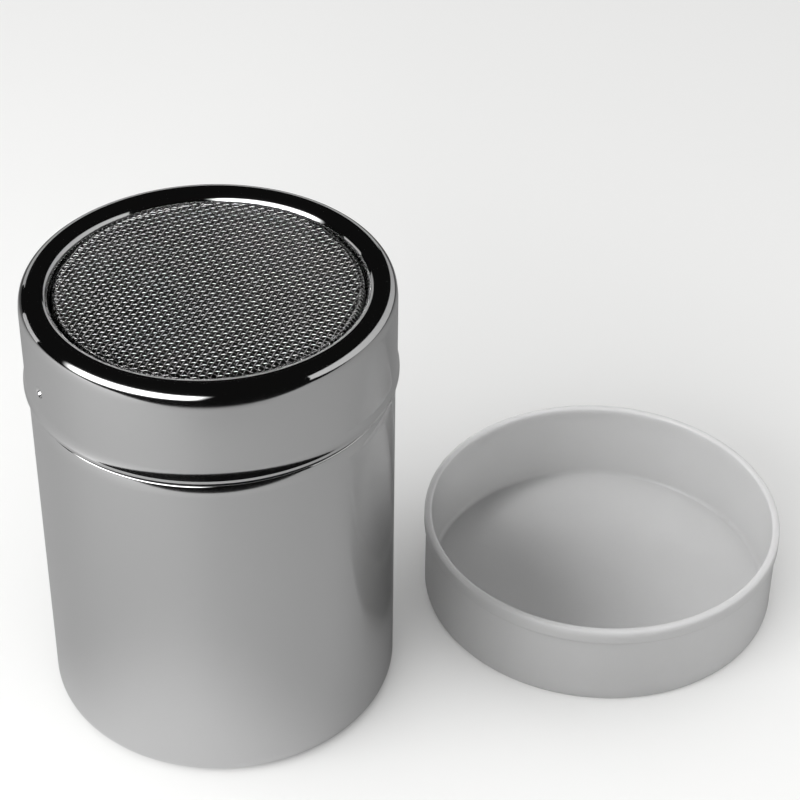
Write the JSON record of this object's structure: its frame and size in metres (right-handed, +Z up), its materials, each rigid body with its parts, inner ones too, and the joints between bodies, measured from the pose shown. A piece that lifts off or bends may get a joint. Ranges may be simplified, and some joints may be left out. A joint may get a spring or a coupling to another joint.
{
  "type": "mesh-top shaker",
  "caption": "Steel shaker with a woven-mesh window in its lift-off lid, and a loose translucent dust cap lying mouth up beside it.",
  "frame": {"origin": "centre of the cup's base, on the surface that the shaker stands on", "axes": "+Z up along the shaker's own axis, +X towards the side where the cap lies, +Y away from the viewer"},
  "size_m": [0.1537, 0.0896, 0.0945],
  "materials": {
    "steel_sheet": "bright stainless sheet, finely polished round the axis",
    "steel_wire": "bright drawn stainless wire",
    "cap_plastic": "smooth, milky and translucent"
  },
  "bodies": {
    "cup": {"cup": "steel_sheet"},
    "lid": {"lid_shell": "steel_sheet", "mesh_warp_wires": "steel_wire", "mesh_weft_wires": "steel_wire", "mesh_retaining_ring": "steel_sheet"},
    "cap": {"cap": "cap_plastic"}
  },
  "joints": [
    {"name": "lid_lift", "type": "slide", "parent": "cup", "child": "lid", "axis": [0, 0, 1], "range_m": [0, 0.04]},
    {"name": "cap_lift", "type": "slide", "parent": "cup", "child": "cap", "axis": [0, 0, 1], "range_m": [0, 0.1]}
  ]
}
